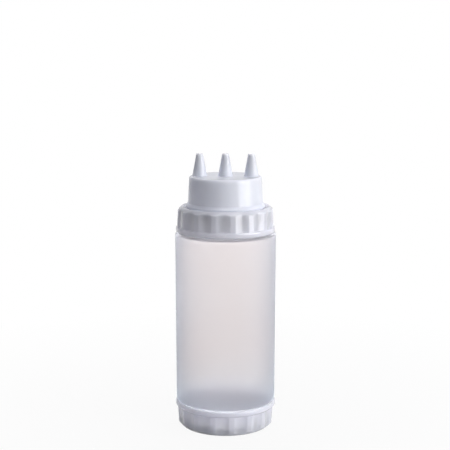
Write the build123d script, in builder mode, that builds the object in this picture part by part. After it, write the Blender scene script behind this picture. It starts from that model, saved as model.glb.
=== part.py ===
from build123d import *
import math
import os

os.makedirs("parts", exist_ok=True)

# A squeeze bottle that opens at both ends, in millimetres. +Z is up and the origin is the
# middle of the foot. Each end of the tube has the same threaded neck and a fluted screw
# ring. The upper ring holds a head with a row of nozzles, the lower one a closing disc.

# Tube
body_length = 120.0
body_radius = 35.0
body_taper = 0.4
body_wall = 1.4
shoulder_wall = 1.8
shoulder_round = 1.8
shoulder_inner_round = 2.0

# Necks
shoulder_width = 5.6
neck_wall = 2.0
neck_root_round = 0.7
neck_rim_round = 0.4

# Screw thread between neck and ring
thread_pitch = 4.0
thread_turns = 1.25
thread_height = 4.2
thread_depth = 1.2
thread_crest_width = 0.9
thread_root_width = 1.9
thread_crest_gap = 0.4
thread_flank_gap = 0.35
thread_sink = 0.5

# Screw rings, with heights above their lower edge
ring_height = 17.8
ring_shoulder_gap = 0.2
ring_wall = 2.85
top_lip_inset = 0.55
base_lip_overhang = 0.5
lip_foot_round = 1.0
lip_height = 2.8
lip_round = 0.8
land_base_height = 4.1
land_base_round = 0.6
land_top_height = 15.5
land_taper = 0.65
land_top_round = 1.0
rim_bevel = 2.6
rim_flat = 0.95
rim_depth = 1.4
rim_slope = 1.2
web_width = 4.5
web_thickness = 1.6
ring_edge_round = 0.3
ring_mouth_chamfer = 0.5

# Flutes round the rings
flute_count = 16
flute_depth = 1.05
flute_radius = 15.0
flute_end_height = 3.9
top_flute_turn = 2.1
base_flute_turn = -0.7

# Seat in a ring: a flange under the web, over a gasket on the rim of the neck
seat_play = 0.15
seat_gap = 0.35
seat_wall = 1.7
flange_thickness = 1.6
flange_gap = 0.3
spigot_length = 3.0
gasket_thickness = 1.6
gasket_gap = 0.2

# Nozzle head
hub_height = 20.8
hub_taper = 1.05
hub_wall = 1.6
hub_edge_round = 1.3
bead_reach = 1.5
bead_clearance = 0.15
bead_slope = 0.7
bead_height = 2.2
bead_flare = 1.8

# Nozzles
tip_count = 3
tip_margin = 0.75
tip_height = 15.5
tip_base_radius = 5.15
tip_end_radius = 2.3
tip_bore_radius = 1.4
tip_wall = 1.4
tip_round = 0.5

# Closing disc
disc_thickness = 1.6
gate_radius = 2.5
gate_depth = 0.3

# Heights in a closure, counted outwards from the shoulder that it screws down to
closure_height = ring_shoulder_gap + ring_height
web_top = closure_height - rim_depth
web_bottom = web_top - web_thickness
flange_top = web_bottom - seat_play
flange_bottom = flange_top - flange_thickness
neck_length = flange_bottom - gasket_thickness
spigot_end = flange_bottom - spigot_length
hub_top = closure_height + hub_height

# Radii, each from its neighbour's, a wall or a clearance
body_base_radius = body_radius - body_taper
neck_radius = body_radius - shoulder_width
mouth_radius = neck_radius - neck_wall
neck_crest_radius = neck_radius + thread_depth
ring_bore_radius = neck_crest_radius + thread_crest_gap
ring_crest_radius = ring_bore_radius - thread_depth
top_lip_radius = body_radius - top_lip_inset
base_lip_radius = body_base_radius + base_lip_overhang
land_base_radius = ring_bore_radius + ring_wall
land_top_radius = land_base_radius - land_taper
flute_floor_radius = land_base_radius - flute_depth
rim_outer_radius = land_top_radius - rim_bevel
rim_inner_radius = rim_outer_radius - rim_flat
web_hole_radius = ring_bore_radius - web_width
flange_radius = ring_crest_radius - flange_gap
seat_radius = web_hole_radius - seat_gap
seat_bore_radius = seat_radius - seat_wall
bead_radius = seat_radius + bead_reach
hub_top_radius = seat_radius - hub_taper

# The outer nozzles stand just inside the rounded edge of the hub
tip_reach = hub_top_radius - hub_edge_round - tip_margin - tip_base_radius
tip_pitch = 2 * tip_reach / (tip_count - 1)

# A ring's ridge runs under the neck's ridge, one flank gap away from it
flank_slope = (thread_root_width - thread_crest_width) / 2 / thread_depth
ridge_overlap = neck_crest_radius - ring_crest_radius
ring_thread_drop = thread_crest_width + ridge_overlap * flank_slope + thread_flank_gap

# The frames of the two closures stand on the shoulders of the tube and point outwards
low_shoulder = closure_height
high_shoulder = low_shoulder + body_length
top_end = Plane(origin=(0, 0, high_shoulder), x_dir=(1, 0, 0), z_dir=(0, 0, 1))
base_end = Plane(origin=(0, 0, low_shoulder), x_dir=(1, 0, 0), z_dir=(0, 0, -1))


def radial_plane(end):
    """Plane through a closure's axis, with x as the radius and y as the height."""
    return Plane(origin=end.origin, x_dir=end.x_dir, z_dir=-end.y_dir)


def closure_axis(end):
    return Axis(end.origin, end.z_dir)


def thread_ridge(end, wall_radius, crest_radius, height):
    """Ridge of a screw thread: a trapezoid carried up a right-hand helix from its wall."""
    wall_side = math.copysign(thread_sink, wall_radius - crest_radius)
    sunk_radius = wall_radius + wall_side
    sunk_half_width = thread_root_width / 2 + thread_sink * flank_slope
    centre = (end.offset(height)).origin
    with BuildPart() as ridge:
        with BuildLine() as helix:
            Helix(
                pitch=thread_pitch,
                height=thread_pitch * thread_turns,
                radius=crest_radius,
                center=centre,
                direction=end.z_dir,
            )
        outwards = (helix.line @ 0 - centre).normalized()
        section = Plane(origin=centre, x_dir=outwards, z_dir=outwards.cross(end.z_dir))
        with BuildSketch(section):
            with BuildLine():
                Polyline(
                    (sunk_radius, -sunk_half_width),
                    (crest_radius, -thread_crest_width / 2),
                    (crest_radius, thread_crest_width / 2),
                    (sunk_radius, sunk_half_width),
                    close=True,
                )
            make_face()
        sweep(path=helix.line, is_frenet=True)
    return ridge.part


def flute_cutter(end, turn):
    """Upright cones about the ring, that widen upwards as its lands lean inwards."""
    end_height = ring_shoulder_gap + flute_end_height
    length = closure_height - end_height
    lean = land_taper / (land_top_height - land_base_height)
    with BuildPart() as cones:
        with Locations(end.offset(end_height)):
            with PolarLocations(flute_floor_radius + flute_radius, flute_count, start_angle=turn):
                Cone(
                    flute_radius,
                    flute_radius + lean * length,
                    length,
                    align=(Align.CENTER, Align.CENTER, Align.MIN),
                )
    return cones.part


def screw_ring(end, lip_radius, flute_turn):
    """Fluted ring with an inside thread and a web that holds down what seats in it."""
    lip_bottom = ring_shoulder_gap
    corners = {
        (ring_bore_radius + ring_mouth_chamfer, lip_bottom): 0,
        (lip_radius, lip_bottom): lip_foot_round,
        (lip_radius, lip_bottom + lip_height): lip_round,
        (land_base_radius, lip_bottom + land_base_height): land_base_round,
        (land_top_radius, lip_bottom + land_top_height): land_top_round,
        (rim_outer_radius, closure_height): ring_edge_round,
        (rim_inner_radius, closure_height): ring_edge_round,
        (rim_inner_radius - rim_slope, web_top): ring_edge_round,
        (web_hole_radius, web_top): ring_edge_round,
        (web_hole_radius, web_bottom): 0,
        (ring_bore_radius, web_bottom): ring_edge_round,
        (ring_bore_radius, lip_bottom + ring_mouth_chamfer): 0,
    }
    ridge = thread_ridge(end, ring_bore_radius, ring_crest_radius, thread_height - ring_thread_drop)
    flutes = flute_cutter(end, flute_turn)
    with BuildPart() as ring:
        with BuildSketch(radial_plane(end)):
            with BuildLine():
                FilletPolyline(*corners.keys(), radius=corners.values(), close=True)
            make_face()
        revolve(axis=closure_axis(end))
        add(ridge)
        add(flutes, mode=Mode.SUBTRACT)
    return ring


def neck_gasket(end):
    """Flat ring that lies on the rim of the neck, round the spigot that comes through it."""
    with BuildPart() as gasket:
        with BuildSketch(end.offset(neck_length)):
            Circle(flange_radius - gasket_gap)
            Circle(seat_radius + gasket_gap, mode=Mode.SUBTRACT)
        extrude(amount=gasket_thickness)
    return gasket


# Tube, blown in one piece with a neck and a thread at each end
low_rim = low_shoulder - neck_length
high_rim = high_shoulder + neck_length
body_corners = {
    (mouth_radius, low_rim): neck_rim_round,
    (neck_radius, low_rim): neck_rim_round,
    (neck_radius, low_shoulder): neck_root_round,
    (body_base_radius, low_shoulder): shoulder_round,
    (body_radius, high_shoulder): shoulder_round,
    (neck_radius, high_shoulder): neck_root_round,
    (neck_radius, high_rim): neck_rim_round,
    (mouth_radius, high_rim): neck_rim_round,
    (mouth_radius, high_shoulder - shoulder_wall): neck_root_round,
    (body_radius - body_wall, high_shoulder - shoulder_wall): shoulder_inner_round,
    (body_base_radius - body_wall, low_shoulder + shoulder_wall): shoulder_inner_round,
    (mouth_radius, low_shoulder + shoulder_wall): neck_root_round,
}
neck_ridges = [
    thread_ridge(end, neck_radius, neck_crest_radius, thread_height) for end in (top_end, base_end)
]
with BuildPart() as bottle_body:
    with BuildSketch(Plane.XZ):
        with BuildLine():
            FilletPolyline(*body_corners.keys(), radius=body_corners.values(), close=True)
        make_face()
    revolve(axis=Axis.Z)
    add(neck_ridges)
bottle_body.part.label = "bottle_body"
export_step(bottle_body.part, "parts/bottle_body.step")

# Upper closure: gasket, ring and nozzle head
head_gasket = neck_gasket(top_end)
head_gasket.part.label = "head_gasket"
export_step(head_gasket.part, "parts/head_gasket.step")

top_ring = screw_ring(top_end, top_lip_radius, top_flute_turn)
top_ring.part.label = "top_ring"
export_step(top_ring.part, "parts/top_ring.step")

# The head comes up through the web, and its bead snaps over the web and carries it along
hub_foot = web_top + bead_height + bead_flare
hub_ceiling = hub_top - hub_wall
head_corners = {
    (seat_radius, spigot_end): ring_edge_round,
    (seat_radius, flange_bottom): 0,
    (flange_radius, flange_bottom): 0,
    (flange_radius, flange_top): ring_edge_round,
    (seat_radius, flange_top): 0,
    (seat_radius, web_top + bead_clearance): 0,
    (bead_radius, web_top + bead_clearance + bead_slope): ring_edge_round,
    (bead_radius, web_top + bead_height): ring_edge_round,
    (seat_radius, hub_foot): ring_edge_round,
    (hub_top_radius, hub_top): hub_edge_round,
    (0, hub_top): 0,
    (0, hub_ceiling): 0,
    (hub_top_radius - hub_wall, hub_ceiling): hub_edge_round,
    (seat_radius - hub_wall, hub_foot): 0,
    (seat_bore_radius, spigot_end): 0,
}
with BuildPart() as nozzle_head:
    with BuildSketch(radial_plane(top_end)):
        with BuildLine():
            FilletPolyline(*head_corners.keys(), radius=head_corners.values(), close=True)
        make_face()
    revolve(axis=Axis.Z)
    with Locations(top_end.offset(hub_top)):
        with GridLocations(tip_pitch, 0, tip_count, 1):
            Cone(
                tip_base_radius,
                tip_end_radius,
                tip_height,
                align=(Align.CENTER, Align.CENTER, Align.MIN),
            )
    fillet(nozzle_head.edges(Select.LAST).filter_by(GeomType.CIRCLE), radius=tip_round)
    with Locations(top_end.offset(hub_top - hub_wall)):
        with GridLocations(tip_pitch, 0, tip_count, 1):
            Cone(
                tip_base_radius - tip_wall,
                tip_bore_radius,
                tip_height + hub_wall,
                align=(Align.CENTER, Align.CENTER, Align.MIN),
                mode=Mode.SUBTRACT,
            )
nozzle_head.part.label = "nozzle_head"
export_step(nozzle_head.part, "parts/nozzle_head.step")

# Lower closure: gasket, ring and a cup-shaped disc that comes through the web, flush with it
base_gasket = neck_gasket(base_end)
base_gasket.part.label = "base_gasket"
export_step(base_gasket.part, "parts/base_gasket.step")

base_ring = screw_ring(base_end, base_lip_radius, base_flute_turn)
base_ring.part.label = "base_ring"
export_step(base_ring.part, "parts/base_ring.step")

disc_corners = {
    (seat_radius, spigot_end): ring_edge_round,
    (seat_radius, flange_bottom): 0,
    (flange_radius, flange_bottom): 0,
    (flange_radius, flange_top): ring_edge_round,
    (seat_radius, flange_top): 0,
    (seat_radius, web_top): ring_edge_round,
    (gate_radius, web_top): 0,
    (gate_radius, web_top - gate_depth): 0,
    (0, web_top - gate_depth): 0,
    (0, web_top - disc_thickness): 0,
    (seat_bore_radius, web_top - disc_thickness): hub_edge_round,
    (seat_bore_radius, spigot_end): 0,
}
with BuildPart() as base_disc:
    with BuildSketch(radial_plane(base_end)):
        with BuildLine():
            FilletPolyline(*disc_corners.keys(), radius=disc_corners.values(), close=True)
        make_face()
    revolve(axis=closure_axis(base_end))
base_disc.part.label = "base_disc"
export_step(base_disc.part, "parts/base_disc.step")
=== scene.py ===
import math

import bmesh
import bpy
import numpy as np
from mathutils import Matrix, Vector
from mathutils.geometry import delaunay_2d_cdt


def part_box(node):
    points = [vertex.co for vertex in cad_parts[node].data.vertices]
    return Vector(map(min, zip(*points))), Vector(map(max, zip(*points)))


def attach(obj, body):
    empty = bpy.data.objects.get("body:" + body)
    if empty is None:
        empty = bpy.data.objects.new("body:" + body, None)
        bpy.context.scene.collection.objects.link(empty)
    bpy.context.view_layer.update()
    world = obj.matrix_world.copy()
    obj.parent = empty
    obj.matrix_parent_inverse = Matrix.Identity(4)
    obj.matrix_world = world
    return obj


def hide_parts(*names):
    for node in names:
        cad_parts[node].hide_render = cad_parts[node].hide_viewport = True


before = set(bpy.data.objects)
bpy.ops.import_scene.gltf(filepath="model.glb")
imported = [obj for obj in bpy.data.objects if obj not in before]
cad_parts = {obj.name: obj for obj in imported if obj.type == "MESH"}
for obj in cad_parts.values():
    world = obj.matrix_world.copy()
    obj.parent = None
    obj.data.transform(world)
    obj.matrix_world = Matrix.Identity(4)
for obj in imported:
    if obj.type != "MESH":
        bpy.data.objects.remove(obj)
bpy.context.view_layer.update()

# Studio: the camera stands in front, a little above the bottle's top, with a long lens. A
# wide soft lamp on the right is the key. Others fill from above and shine through from behind.
scene = bpy.context.scene
scene.view_settings.view_transform = "Standard"

camera_turn = math.radians(4.5)
camera_distance = 0.850
camera_height = 0.283
camera_tilt = math.radians(9.39)
camera_pan = math.radians(0.025)
image_width = 450
focal_in_pixels = 1239.0
sensor_width = 36.0

camera_data = bpy.data.cameras.new("camera")
camera_data.sensor_width = sensor_width
camera_data.lens = focal_in_pixels / image_width * sensor_width
camera = bpy.data.objects.new("camera", camera_data)
camera.location = (
    camera_distance * math.sin(camera_turn),
    -camera_distance * math.cos(camera_turn),
    camera_height,
)
camera.rotation_euler = (math.pi / 2 - camera_tilt, 0, camera_turn + camera_pan)
scene.collection.objects.link(camera)
scene.camera = camera


class Socket:
    """An output in a shader's node tree. + and * on it add the Math nodes they stand for."""

    def __init__(self, tree, output=None):
        self.tree = tree
        self.output = output

    def node(self, kind, settings=None, inputs=None, output=0):
        """Adds a node of that kind: its settings first, then its sockets' values or links.

        A setting called stops, {position: grey or colour}, fills a colour ramp.
        """
        made = self.tree.nodes.new(kind)
        for name, value in (settings or {}).items():
            if name == "stops":
                self.fill_ramp(made.color_ramp.elements, value)
            else:
                setattr(made, name, value)
        for key, value in (inputs or {}).items():
            if isinstance(value, Socket):
                self.tree.links.new(value.output, made.inputs[key])
            else:
                made.inputs[key].default_value = value
        return Socket(self.tree, made.outputs[output] if len(made.outputs) else None)

    @staticmethod
    def fill_ramp(elements, stops):
        for index, (position, colour) in enumerate(sorted(stops.items())):
            stop = elements[index] if index < 2 else elements.new(position)
            stop.position = position
            stop.color = (*colour, 1) if isinstance(colour, tuple) else (colour,) * 3 + (1,)

    def math(self, operation, first, second):
        return self.node("ShaderNodeMath", {"operation": operation}, {0: first, 1: second})

    def __add__(self, other):
        return self.math("ADD", self, other)

    def __mul__(self, other):
        return self.math("MULTIPLY", self, other)

    __radd__ = __add__
    __rmul__ = __mul__


def blank_tree(owner):
    owner.use_nodes = True
    owner.node_tree.nodes.clear()
    return Socket(owner.node_tree)


def shown_directly(tree, in_gloss):
    """1 for what the camera sees itself or through the tube, in_gloss in a reflection, else 0."""
    seen = tree.node("ShaderNodeLightPath", output="Is Camera Ray")
    mirrored = tree.node("ShaderNodeLightPath", output="Is Glossy Ray")
    through = tree.node("ShaderNodeLightPath", output="Is Transmission Ray")
    return tree.math("MAXIMUM", seen, tree.math("MAXIMUM", mirrored * in_gloss, through))


lamp_distance = 1.3
lamp_aim_height = 0.1


def area_lamp(name, turn, rise, size, strength, colour, mirrored=True):
    """Soft lamp, turn degrees to the right of the camera's side and rise degrees up.

    Strength is the brightness of its face. Polished pieces show it only where mirrored.
    """
    data = bpy.data.lights.new(name, "AREA")
    data.shape = "RECTANGLE"
    data.size, data.size_y = size
    data.energy = strength * math.pi * size[0] * size[1]
    data.color = colour
    lamp = bpy.data.objects.new(name, data)
    lamp.visible_glossy = mirrored
    turn = camera_turn + math.radians(turn)
    rise = math.radians(rise)
    away = Vector(
        (math.sin(turn) * math.cos(rise), -math.cos(turn) * math.cos(rise), math.sin(rise))
    )
    lamp.location = Vector((0, 0, lamp_aim_height)) + away * lamp_distance
    lamp.rotation_euler = away.to_track_quat("Z", "Y").to_euler()
    scene.collection.objects.link(lamp)


area_lamp("key_lamp", 62, 16, (1.1, 1.1), 4.6, (1.0, 0.99, 1.0))
area_lamp("top_fill", 20, 75, (0.9, 0.9), 1.5, (1.0, 0.98, 0.98))
area_lamp("back_fill", 180, 24, (1.8, 1.0), 3.8, (1.0, 0.98, 0.98), mirrored=False)

# The air is white to the camera, less so in reflections, and a soft lilac light otherwise
in_gloss = 0.6
ambient_colour = (0.88, 0.90, 1.0, 1)
ambient_strength = 0.22
world = bpy.data.worlds.new("studio_air")
world.cycles.sampling_method = "NONE"
scene.world = world
air = blank_tree(world)
white_air = air.node("ShaderNodeBackground", {}, {"Color": (1, 1, 1, 1), "Strength": 1.0})
soft_air = air.node(
    "ShaderNodeBackground", {}, {"Color": ambient_colour, "Strength": ambient_strength}
)
share = shown_directly(air, in_gloss)
both = air.node("ShaderNodeMixShader", {}, {0: share, 1: soft_air, 2: white_air})
air.node("ShaderNodeOutputWorld", {}, {"Surface": both})

# Floor: a plain pale sheet, white to the camera, that keeps the bottle's soft shadow. Its
# whiteness grows with the distance in metres from the bottle, so that no horizon shows.
floor_radius = 3.0
floor_sides = 96
floor_colour = (0.42, 0.42, 0.43, 1)
floor_whiteness = {0.0: 0.92, 0.35: 1.0}
floor_points = [
    (floor_radius * math.cos(turn), floor_radius * math.sin(turn), 0)
    for turn in np.linspace(0, 2 * math.pi, floor_sides, endpoint=False)
]
floor_mesh = bpy.data.meshes.new("floor")
floor_mesh.from_pydata(floor_points, [], [range(floor_sides)])
floor = bpy.data.objects.new("floor", floor_mesh)
scene.collection.objects.link(floor)
floor_material = bpy.data.materials.new("floor_white")
floor_mesh.materials.append(floor_material)
sheet = blank_tree(floor_material)
lit = sheet.node("ShaderNodeBsdfDiffuse", {}, {"Color": floor_colour})
white = sheet.node("ShaderNodeEmission", {}, {"Color": (1, 1, 1, 1), "Strength": 1.0})
place = sheet.node("ShaderNodeTexCoord", output="Object")
distance = sheet.node("ShaderNodeVectorMath", {"operation": "LENGTH"}, {0: place}, output="Value")
whiteness = sheet.node("ShaderNodeValToRGB", {"stops": floor_whiteness}, {0: distance})
both = sheet.node(
    "ShaderNodeMixShader", {}, {0: shown_directly(sheet, in_gloss) * whiteness, 1: lit, 2: white}
)
sheet.node("ShaderNodeOutputMaterial", {}, {"Surface": both})

# Bottle tube: one blow-moulded piece of soft, frosted polyethylene with a thin even wall. A
# flat shoulder and a threaded neck close in each end. The necks are hidden by the rings.
MM = 0.001
ARC_POINTS = 7
SAME_LENGTH = 0.01
MERGE_REACH = 1e-7
SLIVER_LENGTH = 1e-8
SHARP_EDGE = math.radians(40)
FULL_TURN = 2 * math.pi


def rounded_outline(corners, longest, fine_radius=0, finest=0.25, closed=True):
    """Outline through corners of (radius, height): round, as an array of such points.

    Each corner is replaced by the arc of radius round that touches both its sides: it
    starts round / tan(half the corner's angle) away from the corner. Straight stretches
    are divided so that no step is over longest, or over finest at fine_radius.
    """
    places = [np.array(place, float) for place in corners]
    path = []
    for index, round_radius in enumerate(corners.values()):
        corner = places[index]
        if round_radius == 0:
            path.append(corner)
            continue
        back = places[index - 1] - corner
        ahead = places[(index + 1) % len(places)] - corner
        back /= np.linalg.norm(back)
        ahead /= np.linalg.norm(ahead)
        half = math.acos(back @ ahead) / 2
        middle = (back + ahead) / np.linalg.norm(back + ahead)
        centre = corner + middle * round_radius / math.sin(half)
        first = corner + back * round_radius / math.tan(half) - centre
        last = corner + ahead * round_radius / math.tan(half) - centre
        start = math.atan2(first[1], first[0])
        sweep = math.remainder(math.atan2(last[1], last[0]) - start, FULL_TURN)
        turns = start + sweep * np.linspace(0, 1, ARC_POINTS)
        path.extend(centre + round_radius * np.stack([np.cos(turns), np.sin(turns)], 1))
    stretches = []
    for here, there in zip(path, path[1:] + path[:1]):
        fine = abs(here[0] - fine_radius) + abs(there[0] - fine_radius) < SAME_LENGTH
        step = finest if fine else longest
        count = max(1, math.ceil(np.linalg.norm(there - here) / step))
        stretches.append(here + (there - here) * np.linspace(0, 1, count, endpoint=False)[:, None])
    if not closed:
        stretches[-1] = stretches[-1][:1]
    return np.concatenate(stretches)


def grid_faces(rows, columns, closed):
    """Faces between the rows of a grid whose columns close, and its rows too if closed.

    Columns run anticlockwise round the axis and rows up the outside, so that faces point
    outwards.
    """
    row = np.arange(rows if closed else rows - 1)[:, None]
    column = np.arange(columns)[None, :]
    above = (row + 1) % rows * columns
    beside = (column + 1) % columns
    corners = [row * columns + column, row * columns + beside, above + beside, above + column]
    return np.stack(corners, -1).reshape(-1, 4)


def turned_points(radius, height, turns):
    """Points in millimetres of a grid: radius, and height and turns in rows and columns."""
    radius, height, turns = np.broadcast_arrays(radius, height, turns)
    return np.stack([radius * np.cos(turns), radius * np.sin(turns), height], -1)


def finished_object(name, points, faces):
    """Object of points in millimetres, with doubled ones merged, smooth but for its edges."""
    mesh = bpy.data.meshes.new(name)
    mesh.from_pydata((points.reshape(-1, 3) * MM).tolist(), [], faces)
    work = bmesh.new()
    work.from_mesh(mesh)
    bmesh.ops.remove_doubles(work, verts=work.verts, dist=MERGE_REACH)
    bmesh.ops.dissolve_degenerate(work, edges=work.edges, dist=SLIVER_LENGTH)
    for face in work.faces:
        face.smooth = True
    work.to_mesh(mesh)
    work.free()
    mesh.set_sharp_from_angle(angle=SHARP_EDGE)
    piece = bpy.data.objects.new(name, mesh)
    scene.collection.objects.link(piece)
    return piece


def thread_rise(height, turns, start):
    """How far a screw thread stands out, from 0 at its wall to 1 at its crest.

    Its middle climbs by the pitch each turn from the height start. Across, it is flat over
    the crest and slopes to the wall over the root. It fades in and out over thread_fade
    turns at its two ends.
    """
    turned = turns / FULL_TURN % 1
    rise = np.zeros(np.broadcast(height, turned).shape)
    for lap in range(math.ceil(thread_turns)):
        travelled = turned + lap
        middle = start + thread_pitch * travelled
        across = (thread_root - 2 * np.abs(height - middle)) / (thread_root - thread_crest)
        fade = np.clip(np.minimum(travelled, thread_turns - travelled) / thread_fade, 0, 1)
        rise = np.maximum(rise, np.clip(across, 0, 1) * fade)
    return rise


tube_low, tube_high = (corner.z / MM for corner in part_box("bottle_body"))
neck_length = 11.65
low_shoulder = tube_low + neck_length
high_shoulder = tube_high - neck_length
tube_top_radius = 35.0
tube_base_radius = 34.6
tube_wall = 1.4
shoulder_wall = 1.8
neck_radius = 29.4
mouth_radius = 27.4
thread_pitch = 4.0
thread_turns = 1.25
thread_fade = 0.05
thread_crest = 0.9
thread_root = 1.9
thread_depth = 1.2
neck_thread_height = 4.2
tube_columns = 256
tube_step = 3.0

tube_corners = {
    (mouth_radius, tube_low): 0.4,
    (neck_radius, tube_low): 0.4,
    (neck_radius, low_shoulder): 0.7,
    (tube_base_radius, low_shoulder): 1.8,
    (tube_top_radius, high_shoulder): 1.8,
    (neck_radius, high_shoulder): 0.7,
    (neck_radius, tube_high): 0.4,
    (mouth_radius, tube_high): 0.4,
    (mouth_radius, high_shoulder - shoulder_wall): 0.7,
    (tube_top_radius - tube_wall, high_shoulder - shoulder_wall): 2.0,
    (tube_base_radius - tube_wall, low_shoulder + shoulder_wall): 2.0,
    (mouth_radius, low_shoulder + shoulder_wall): 0.7,
}
outline = rounded_outline(tube_corners, tube_step, neck_radius)
turns = np.linspace(0, FULL_TURN, tube_columns, endpoint=False)
radius, height = outline[:, :1], outline[:, 1:]
# The lower neck points down, so its thread runs the other way round
on_neck = np.abs(radius - neck_radius) < SAME_LENGTH
upper_rise = thread_rise(height - high_shoulder, turns, neck_thread_height)
lower_rise = thread_rise(low_shoulder - height, -turns, neck_thread_height)
radius = radius + thread_depth * np.maximum(upper_rise, lower_rise) * on_neck
tube_points = turned_points(radius, height, turns)
tube = finished_object(
    "frosted_tube", tube_points, grid_faces(len(outline), tube_columns, True).tolist()
)


def fine_grain(place, grains, depth):
    """Bump of a fine, even grain: so many grains a metre, and a depth in metres."""
    noise_inputs = {"Vector": place, "Scale": grains, "Detail": 3.0, "Roughness": 0.55}
    grain = place.node("ShaderNodeTexNoise", {}, noise_inputs)
    return place.node("ShaderNodeBump", {}, {"Strength": 0.4, "Distance": depth, "Height": grain})


def start_material(name):
    """A new material, and the place on the object as a socket that its patterns read."""
    material = bpy.data.materials.new(name)
    return material, blank_tree(material).node("ShaderNodeTexCoord", output="Object")


def end_material(place, shader_inputs):
    shader = place.node("ShaderNodeBsdfPrincipled", {}, shader_inputs)
    place.node("ShaderNodeOutputMaterial", {}, {"Surface": shader})


frosted, place = start_material("frosted_polyethylene")
cloud = place.node("ShaderNodeTexNoise", {}, {"Vector": place, "Scale": 22.0, "Detail": 2.0})
tint = {0.3: (0.99, 0.925, 0.893), 0.7: (1.0, 0.95, 0.923)}
rosy = cloud.node("ShaderNodeValToRGB", {"stops": tint}, {0: cloud})
# Painted light: the tube's colour turns lighter towards the lower end, between these heights in
# metres, painted over the shade that falls inside its bottom
painted_light_tint = (1.0, 0.975, 0.955, 1)
painted_light_full_height = 0.018
painted_light_end_height = 0.048
painted_light_share = place.node(
    "ShaderNodeMapRange",
    {"interpolation_type": "SMOOTHSTEP"},
    {
        "Value": place.node("ShaderNodeSeparateXYZ", {}, {0: place}, output="Z"),
        "From Min": painted_light_full_height,
        "From Max": painted_light_end_height,
        "To Min": 1.0,
        "To Max": 0.0,
    },
)
# Painted light: the lighter tint's share, full at the lower end of the tube
colours = {0: painted_light_share, 6: rosy, 7: painted_light_tint}
end_material(
    place,
    {
        "Base Color": place.node("ShaderNodeMix", {"data_type": "RGBA"}, colours, output=2),
        "Roughness": cloud * 0.06 + 0.5,
        "Transmission Weight": 0.95,
        "IOR": 1.2,
        "Coat Weight": 1.0,
        "Coat IOR": 1.05,
        "Coat Roughness": 0.3,
        "Coat Tint": (0.925, 0.939, 0.957, 1),
        "Normal": fine_grain(place, 2600.0, 0.00006),
    },
)
tube.data.materials.append(frosted)
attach(tube, "bottle")
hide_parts("bottle_body")

# Gaskets: flat rings of matt silicone, one on the rim of each neck, squeezed by what seats
# in the screw ring above or below. They are hidden while the bottle is closed.
silicone, place = start_material("matt_silicone")
dust = place.node("ShaderNodeTexNoise", {}, {"Vector": place, "Scale": 900.0, "Detail": 4.0})
tint = {0.35: (0.78, 0.78, 0.77), 0.7: (0.84, 0.84, 0.83)}
end_material(
    place,
    {
        "Base Color": dust.node("ShaderNodeValToRGB", {"stops": tint}, {0: dust}),
        "Roughness": dust * 0.15 + 0.5,
        "Normal": fine_grain(place, 4000.0, 0.00003),
    },
)
for gasket in ("head_gasket", "base_gasket"):
    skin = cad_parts[gasket].data
    skin.materials.clear()
    skin.materials.append(silicone)

# Screw rings: two injection mouldings of milky polypropylene, polished, with sixteen hollow
# flutes for the fingers, an inside thread, and an inner web. The upper one stands on its
# lip, and the lower one is the same ring upside down, with a wider lip.
shoulder_gap = 0.2
closure_height = 18.0
web_top = closure_height - 1.4
web_bottom = web_top - 1.6
ring_bore = 31.0
mouth_chamfer = 0.5
web_hole = 26.5
upper_lip_radius = 34.45
lower_lip_radius = 35.1
lip_crest = shoulder_gap + 2.8
land_foot = 33.85
land_foot_height = shoulder_gap + 4.1
land_top = 33.2
land_top_height = shoulder_gap + 15.5
land_lean = (land_foot - land_top) / (land_top_height - land_foot_height)
rim_outer = 30.6
rim_inner = 29.65
rim_foot = 28.45
flute_count = 16
flute_floor = 32.8
flute_radius = 15.0
flute_end = shoulder_gap + 3.9
flute_stop_low = flute_end - 0.15
flute_stop_high = flute_end + 0.05
flute_softness = 0.25
upper_flute_turn = math.radians(2.1)
lower_flute_turn = math.radians(0.7)
ring_step = 0.6
ring_thread_step = 0.28
# Columns of points over half a land, a flute's edge, its hollow, its other edge and half a land
flute_columns = (3, 7, 12, 7, 3)
edge_band = math.radians(0.7)
# The ring's thread runs this far under the neck's, and their sloping flanks leave some play
thread_shift = 1.5833
ring_thread_height = neck_thread_height - thread_shift


def soft_least(first, second, softness):
    """The smaller of two values, rounded over softness where they cross."""
    share = np.clip(0.5 + 0.5 * (second - first) / softness, 0, 1)
    return second + (first - second) * share - softness * share * (1 - share)


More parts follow.
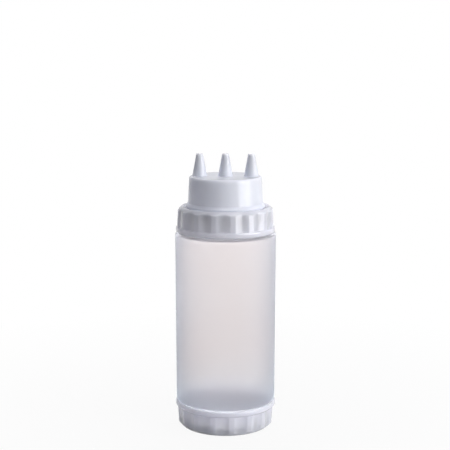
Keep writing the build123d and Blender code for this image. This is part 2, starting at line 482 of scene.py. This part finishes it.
def ring_surface(name, level, upwards, lip_radius, flute_middle):
    """Ring whose lip faces level, with its rim above it (upwards 1) or below it (-1).

    An outline is turned about the axis. Where a flute is deeper than the outline the flute
    wins, rounded over flute_softness. It is part of a cone about a line far = flute_floor +
    flute_radius from the axis, whose radius r grows with the height: at an angle a from its
    middle it is far cos a - sqrt(r^2 - (far sin a)^2) from the axis. The columns gather
    within edge_band of its edges. Flutes stop flat above the lip, over two rows.
    """
    flare = (land_foot - lip_radius) / (land_foot_height - lip_crest)
    corners = {
        (ring_bore + mouth_chamfer, shoulder_gap): 0.15,
        (lip_radius, shoulder_gap): 1.0,
        (lip_radius, lip_crest): 0.8,
        (lip_radius + flare * (flute_stop_low - lip_crest), flute_stop_low): 0,
        (lip_radius + flare * (flute_stop_high - lip_crest), flute_stop_high): 0,
        (land_foot, land_foot_height): 0.1,
        (land_top, land_top_height): 1.0,
        (rim_outer, closure_height): 0.35,
        (rim_inner, closure_height): 0.3,
        (rim_foot, web_top): 0.3,
        (web_hole, web_top): 0.3,
        (web_hole, web_bottom): 0.2,
        (ring_bore, web_bottom): 0.4,
        (ring_bore, shoulder_gap + mouth_chamfer): 0.15,
    }
    outline = rounded_outline(corners, ring_step, ring_bore, ring_thread_step)
    radius, height = outline[:, :1], outline[:, 1:]
    far = flute_floor + flute_radius
    half = math.pi / flute_count
    edge = math.acos((far**2 + land_foot**2 - flute_radius**2) / (2 * far * land_foot))
    near, beyond = edge - edge_band, edge + edge_band
    stops = [-half, -beyond, -near, near, beyond, half]
    parts = [
        np.linspace(start, stop, count, endpoint=False)
        for start, stop, count in zip(stops, stops[1:], flute_columns)
    ]
    aside = np.tile(np.concatenate(parts), flute_count)
    middles = flute_middle + 2 * half * np.repeat(np.arange(flute_count), sum(flute_columns))
    turns = aside + middles
    hollow_radius = flute_radius + land_lean * (height - flute_end)
    hollow = far * np.cos(aside) - np.sqrt(hollow_radius**2 - (far * np.sin(aside)) ** 2)
    carved = np.where(height > flute_end, soft_least(radius, hollow, flute_softness), radius)
    in_bore = (np.abs(radius - ring_bore) < SAME_LENGTH) & (height < web_bottom)
    rise = thread_rise(height, turns * upwards, ring_thread_height) * in_bore
    points = turned_points(carved - thread_depth * rise, level + upwards * height, turns)
    faces = grid_faces(*points.shape[:2], True).tolist()
    return finished_object(name, points[::upwards], faces)


def moulded_plastic(name, darker, lighter, glow_depth, coat):
    """Polished, cloudy plastic, its colour drifting between two tints as the melt flowed."""
    material, place = start_material(name)
    noise_inputs = {"Vector": place, "Scale": 60.0, "Detail": 2.0, "Distortion": 0.6}
    flow = place.node("ShaderNodeTexNoise", {}, noise_inputs)
    tint = {0.3: darker, 0.7: lighter}
    end_material(
        place,
        {
            "Base Color": flow.node("ShaderNodeValToRGB", {"stops": tint}, {0: flow}),
            "Roughness": flow * 0.06 + 0.12,
            "IOR": 1.5,
            "Subsurface Weight": 1.0,
            "Subsurface Radius": (1.0, 0.95, 0.95),
            "Subsurface Scale": glow_depth,
            "Coat Weight": coat,
            "Coat Roughness": 0.12,
            "Normal": fine_grain(place, 700.0, 0.00002),
        },
    )
    return material


def moulding(piece, material, node, body):
    """Makes a piece the visible moulding of a CAD node that moves with a body."""
    piece.data.materials.append(material)
    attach(piece, body)
    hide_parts(node)


ring_plastic = moulded_plastic(
    "ring_polypropylene", (0.67, 0.68, 0.785), (0.71, 0.72, 0.82), 0.012, 0.3
)
top_ring = ring_surface(
    "fluted_ring_upper", high_shoulder, 1, upper_lip_radius, upper_flute_turn
)
moulding(top_ring, ring_plastic, "top_ring", "top_ring")
base_ring = ring_surface(
    "fluted_ring_lower", low_shoulder, -1, lower_lip_radius, lower_flute_turn
)
moulding(base_ring, ring_plastic, "base_ring", "base_ring")

# Nozzle head: one moulding of the same plastic. Its bead snaps over the web of the upper
# ring, its flange seals on the gasket, and three hollow cones stand in a row on the hub.
seat_radius = 26.15
seat_bore = seat_radius - 1.7
web_play = 0.15
flange_radius = 29.5
flange_top = web_bottom - web_play
flange_bottom = flange_top - 1.6
spigot_end = flange_bottom - 3.0
bead_radius = 27.65
bead_low = web_top + 0.85
bead_high = web_top + 2.2
hub_foot = web_top + 4.0
hub_top = closure_height + 20.8
hub_top_radius = 25.1
hub_wall = 1.6
hub_ceiling = hub_top - hub_wall
hub_round = 1.3
hub_columns = 216
hub_step = 2.5
top_plate_radius = 23.75
ceiling_plate_radius = 22.15
tip_places = (-17.9, 0.0, 17.9)
tip_height = 15.5
tip_foot_radius = 5.15
tip_foot_reach = 5.7
tip_end_radius = 2.3
tip_round = 0.5
tip_bore_foot = 3.75
tip_bore_reach = 4.1
tip_bore_end = 1.4
tip_columns = 72
tip_step = 1.5


def holed_plate(rim, holes, upwards):
    """Triangles of a flat plate between a round rim of points and the rings round its holes.

    The triangles of all the points are found with no sharper corners than need be, and
    those whose middle lies inside a hole's ring are left out. They face up or down.
    """
    rings = [rim, *holes]
    points = np.concatenate(rings)
    numbers = np.split(np.arange(len(points)), np.cumsum([len(ring) for ring in rings[:-1]]))
    edges = np.concatenate([np.stack([here, np.roll(here, -1)], 1) for here in numbers])
    flat = [Vector(point[:2]) for point in points]
    made = delaunay_2d_cdt(flat, edges.tolist(), [], 0, MERGE_REACH, True)
    places = np.array([tuple(place) for place in made[0]])
    faces = np.array(made[2])
    centres = places[faces].mean(1)
    kept = np.ones(len(faces), bool)
    for hole in holes:
        middle = hole[:, :2].mean(0)
        reach = np.linalg.norm(hole[:, :2] - middle, axis=1).min() * math.cos(math.pi / len(hole))
        kept &= np.linalg.norm(centres - middle, axis=1) > reach
    faces = faces[kept]
    first, second, third = (places[faces[:, corner]] for corner in range(3))
    wrong = (np.cross(second - first, third - first) > 0) != upwards
    faces[wrong] = faces[wrong][:, ::-1]
    return np.column_stack([places, np.full(len(places), points[0, 2])]), faces


hub_corners = {
    (ceiling_plate_radius, hub_ceiling): 0,
    (hub_top_radius - hub_wall, hub_ceiling): hub_round,
    (seat_radius - hub_wall, hub_foot): 0.3,
    (seat_bore, spigot_end): 0.2,
    (seat_radius, spigot_end): 0.3,
    (seat_radius, flange_bottom): 0.2,
    (flange_radius, flange_bottom): 0.2,
    (flange_radius, flange_top): 0.3,
    (seat_radius, flange_top): 0.15,
    (seat_radius, web_top + web_play): 0.1,
    (bead_radius, bead_low): 0.3,
    (bead_radius, bead_high): 0.3,
    (seat_radius, hub_foot): 0.3,
    (hub_top_radius, hub_top): hub_round,
    (top_plate_radius, hub_top): 0,
}
tip_corners = {
    (tip_foot_reach, hub_top): 0,
    (tip_foot_radius, hub_top): tip_round,
    (tip_end_radius, hub_top + tip_height): tip_round,
    (tip_bore_end, hub_top + tip_height): 0.15,
    (tip_bore_foot, hub_ceiling): 0.25,
    (tip_bore_reach, hub_ceiling): 0,
}
shells = []
for corners, columns, places, step in (
    (hub_corners, hub_columns, (0.0,), hub_step),
    (tip_corners, tip_columns, tip_places, tip_step),
):
    outline = rounded_outline(corners, step, closed=False)
    turns = np.linspace(0, FULL_TURN, columns, endpoint=False)
    lathe = turned_points(outline[:, :1], outline[:, 1:], turns)
    faces = grid_faces(len(outline), columns, False)
    shells += [(lathe + (place, 0, 0), faces) for place in places]
hub, *tips = (points for points, faces in shells)
shells.append(holed_plate(hub[-1], [tip[0] for tip in tips], True))
shells.append(holed_plate(hub[0], [tip[-1] for tip in tips], False))
head_points = np.concatenate([points.reshape(-1, 3) for points, faces in shells])
head_faces = []
first_number = 0
for points, faces in shells:
    head_faces += (faces + first_number).tolist()
    first_number += points.size // 3
head = finished_object("nozzle_head_shell", head_points + (0, 0, high_shoulder), head_faces)
# Painted glow: the head's copy of the ring plastic is tinted lighter, standing in for light that
# shines through its thin hub and cones
glow_painted_plastic = moulded_plastic(
    "head_polypropylene_painted_glow", (0.75, 0.78, 0.91), (0.79, 0.82, 0.94), 0.006, 0
)
moulding(head, glow_painted_plastic, "nozzle_head", "head")

# Closing disc: a shallow cup of the same plastic, pushed through the web of the lower ring
# until its flange seats. Its face lies level with the web and shows where the melt came in.
disc_thickness = 1.6
gate_radius = 2.5
gate_depth = 0.3
disc_columns = 160
disc_step = 2.0

disc_corners = {
    (seat_radius, spigot_end): 0.3,
    (seat_radius, flange_bottom): 0.2,
    (flange_radius, flange_bottom): 0.2,
    (flange_radius, flange_top): 0.3,
    (seat_radius, flange_top): 0.15,
    (seat_radius, web_top): 0.3,
    (gate_radius, web_top): 0.12,
    (gate_radius, web_top - gate_depth): 0.1,
    (0, web_top - gate_depth): 0,
    (0, web_top - disc_thickness): 0,
    (seat_bore, web_top - disc_thickness): hub_round,
    (seat_bore, spigot_end): 0.2,
}
outline = rounded_outline(disc_corners, disc_step)[::-1]
turns = np.linspace(0, FULL_TURN, disc_columns, endpoint=False)
disc_points = turned_points(outline[:, :1], low_shoulder - outline[:, 1:], turns)
disc = finished_object(
    "closing_disc", disc_points, grid_faces(len(outline), disc_columns, True).tolist()
)
# The disc takes the head's lighter tint: painted glow, which also lightens the shade in the bottom
# of the tube
moulding(disc, glow_painted_plastic, "base_disc", "base_plug")
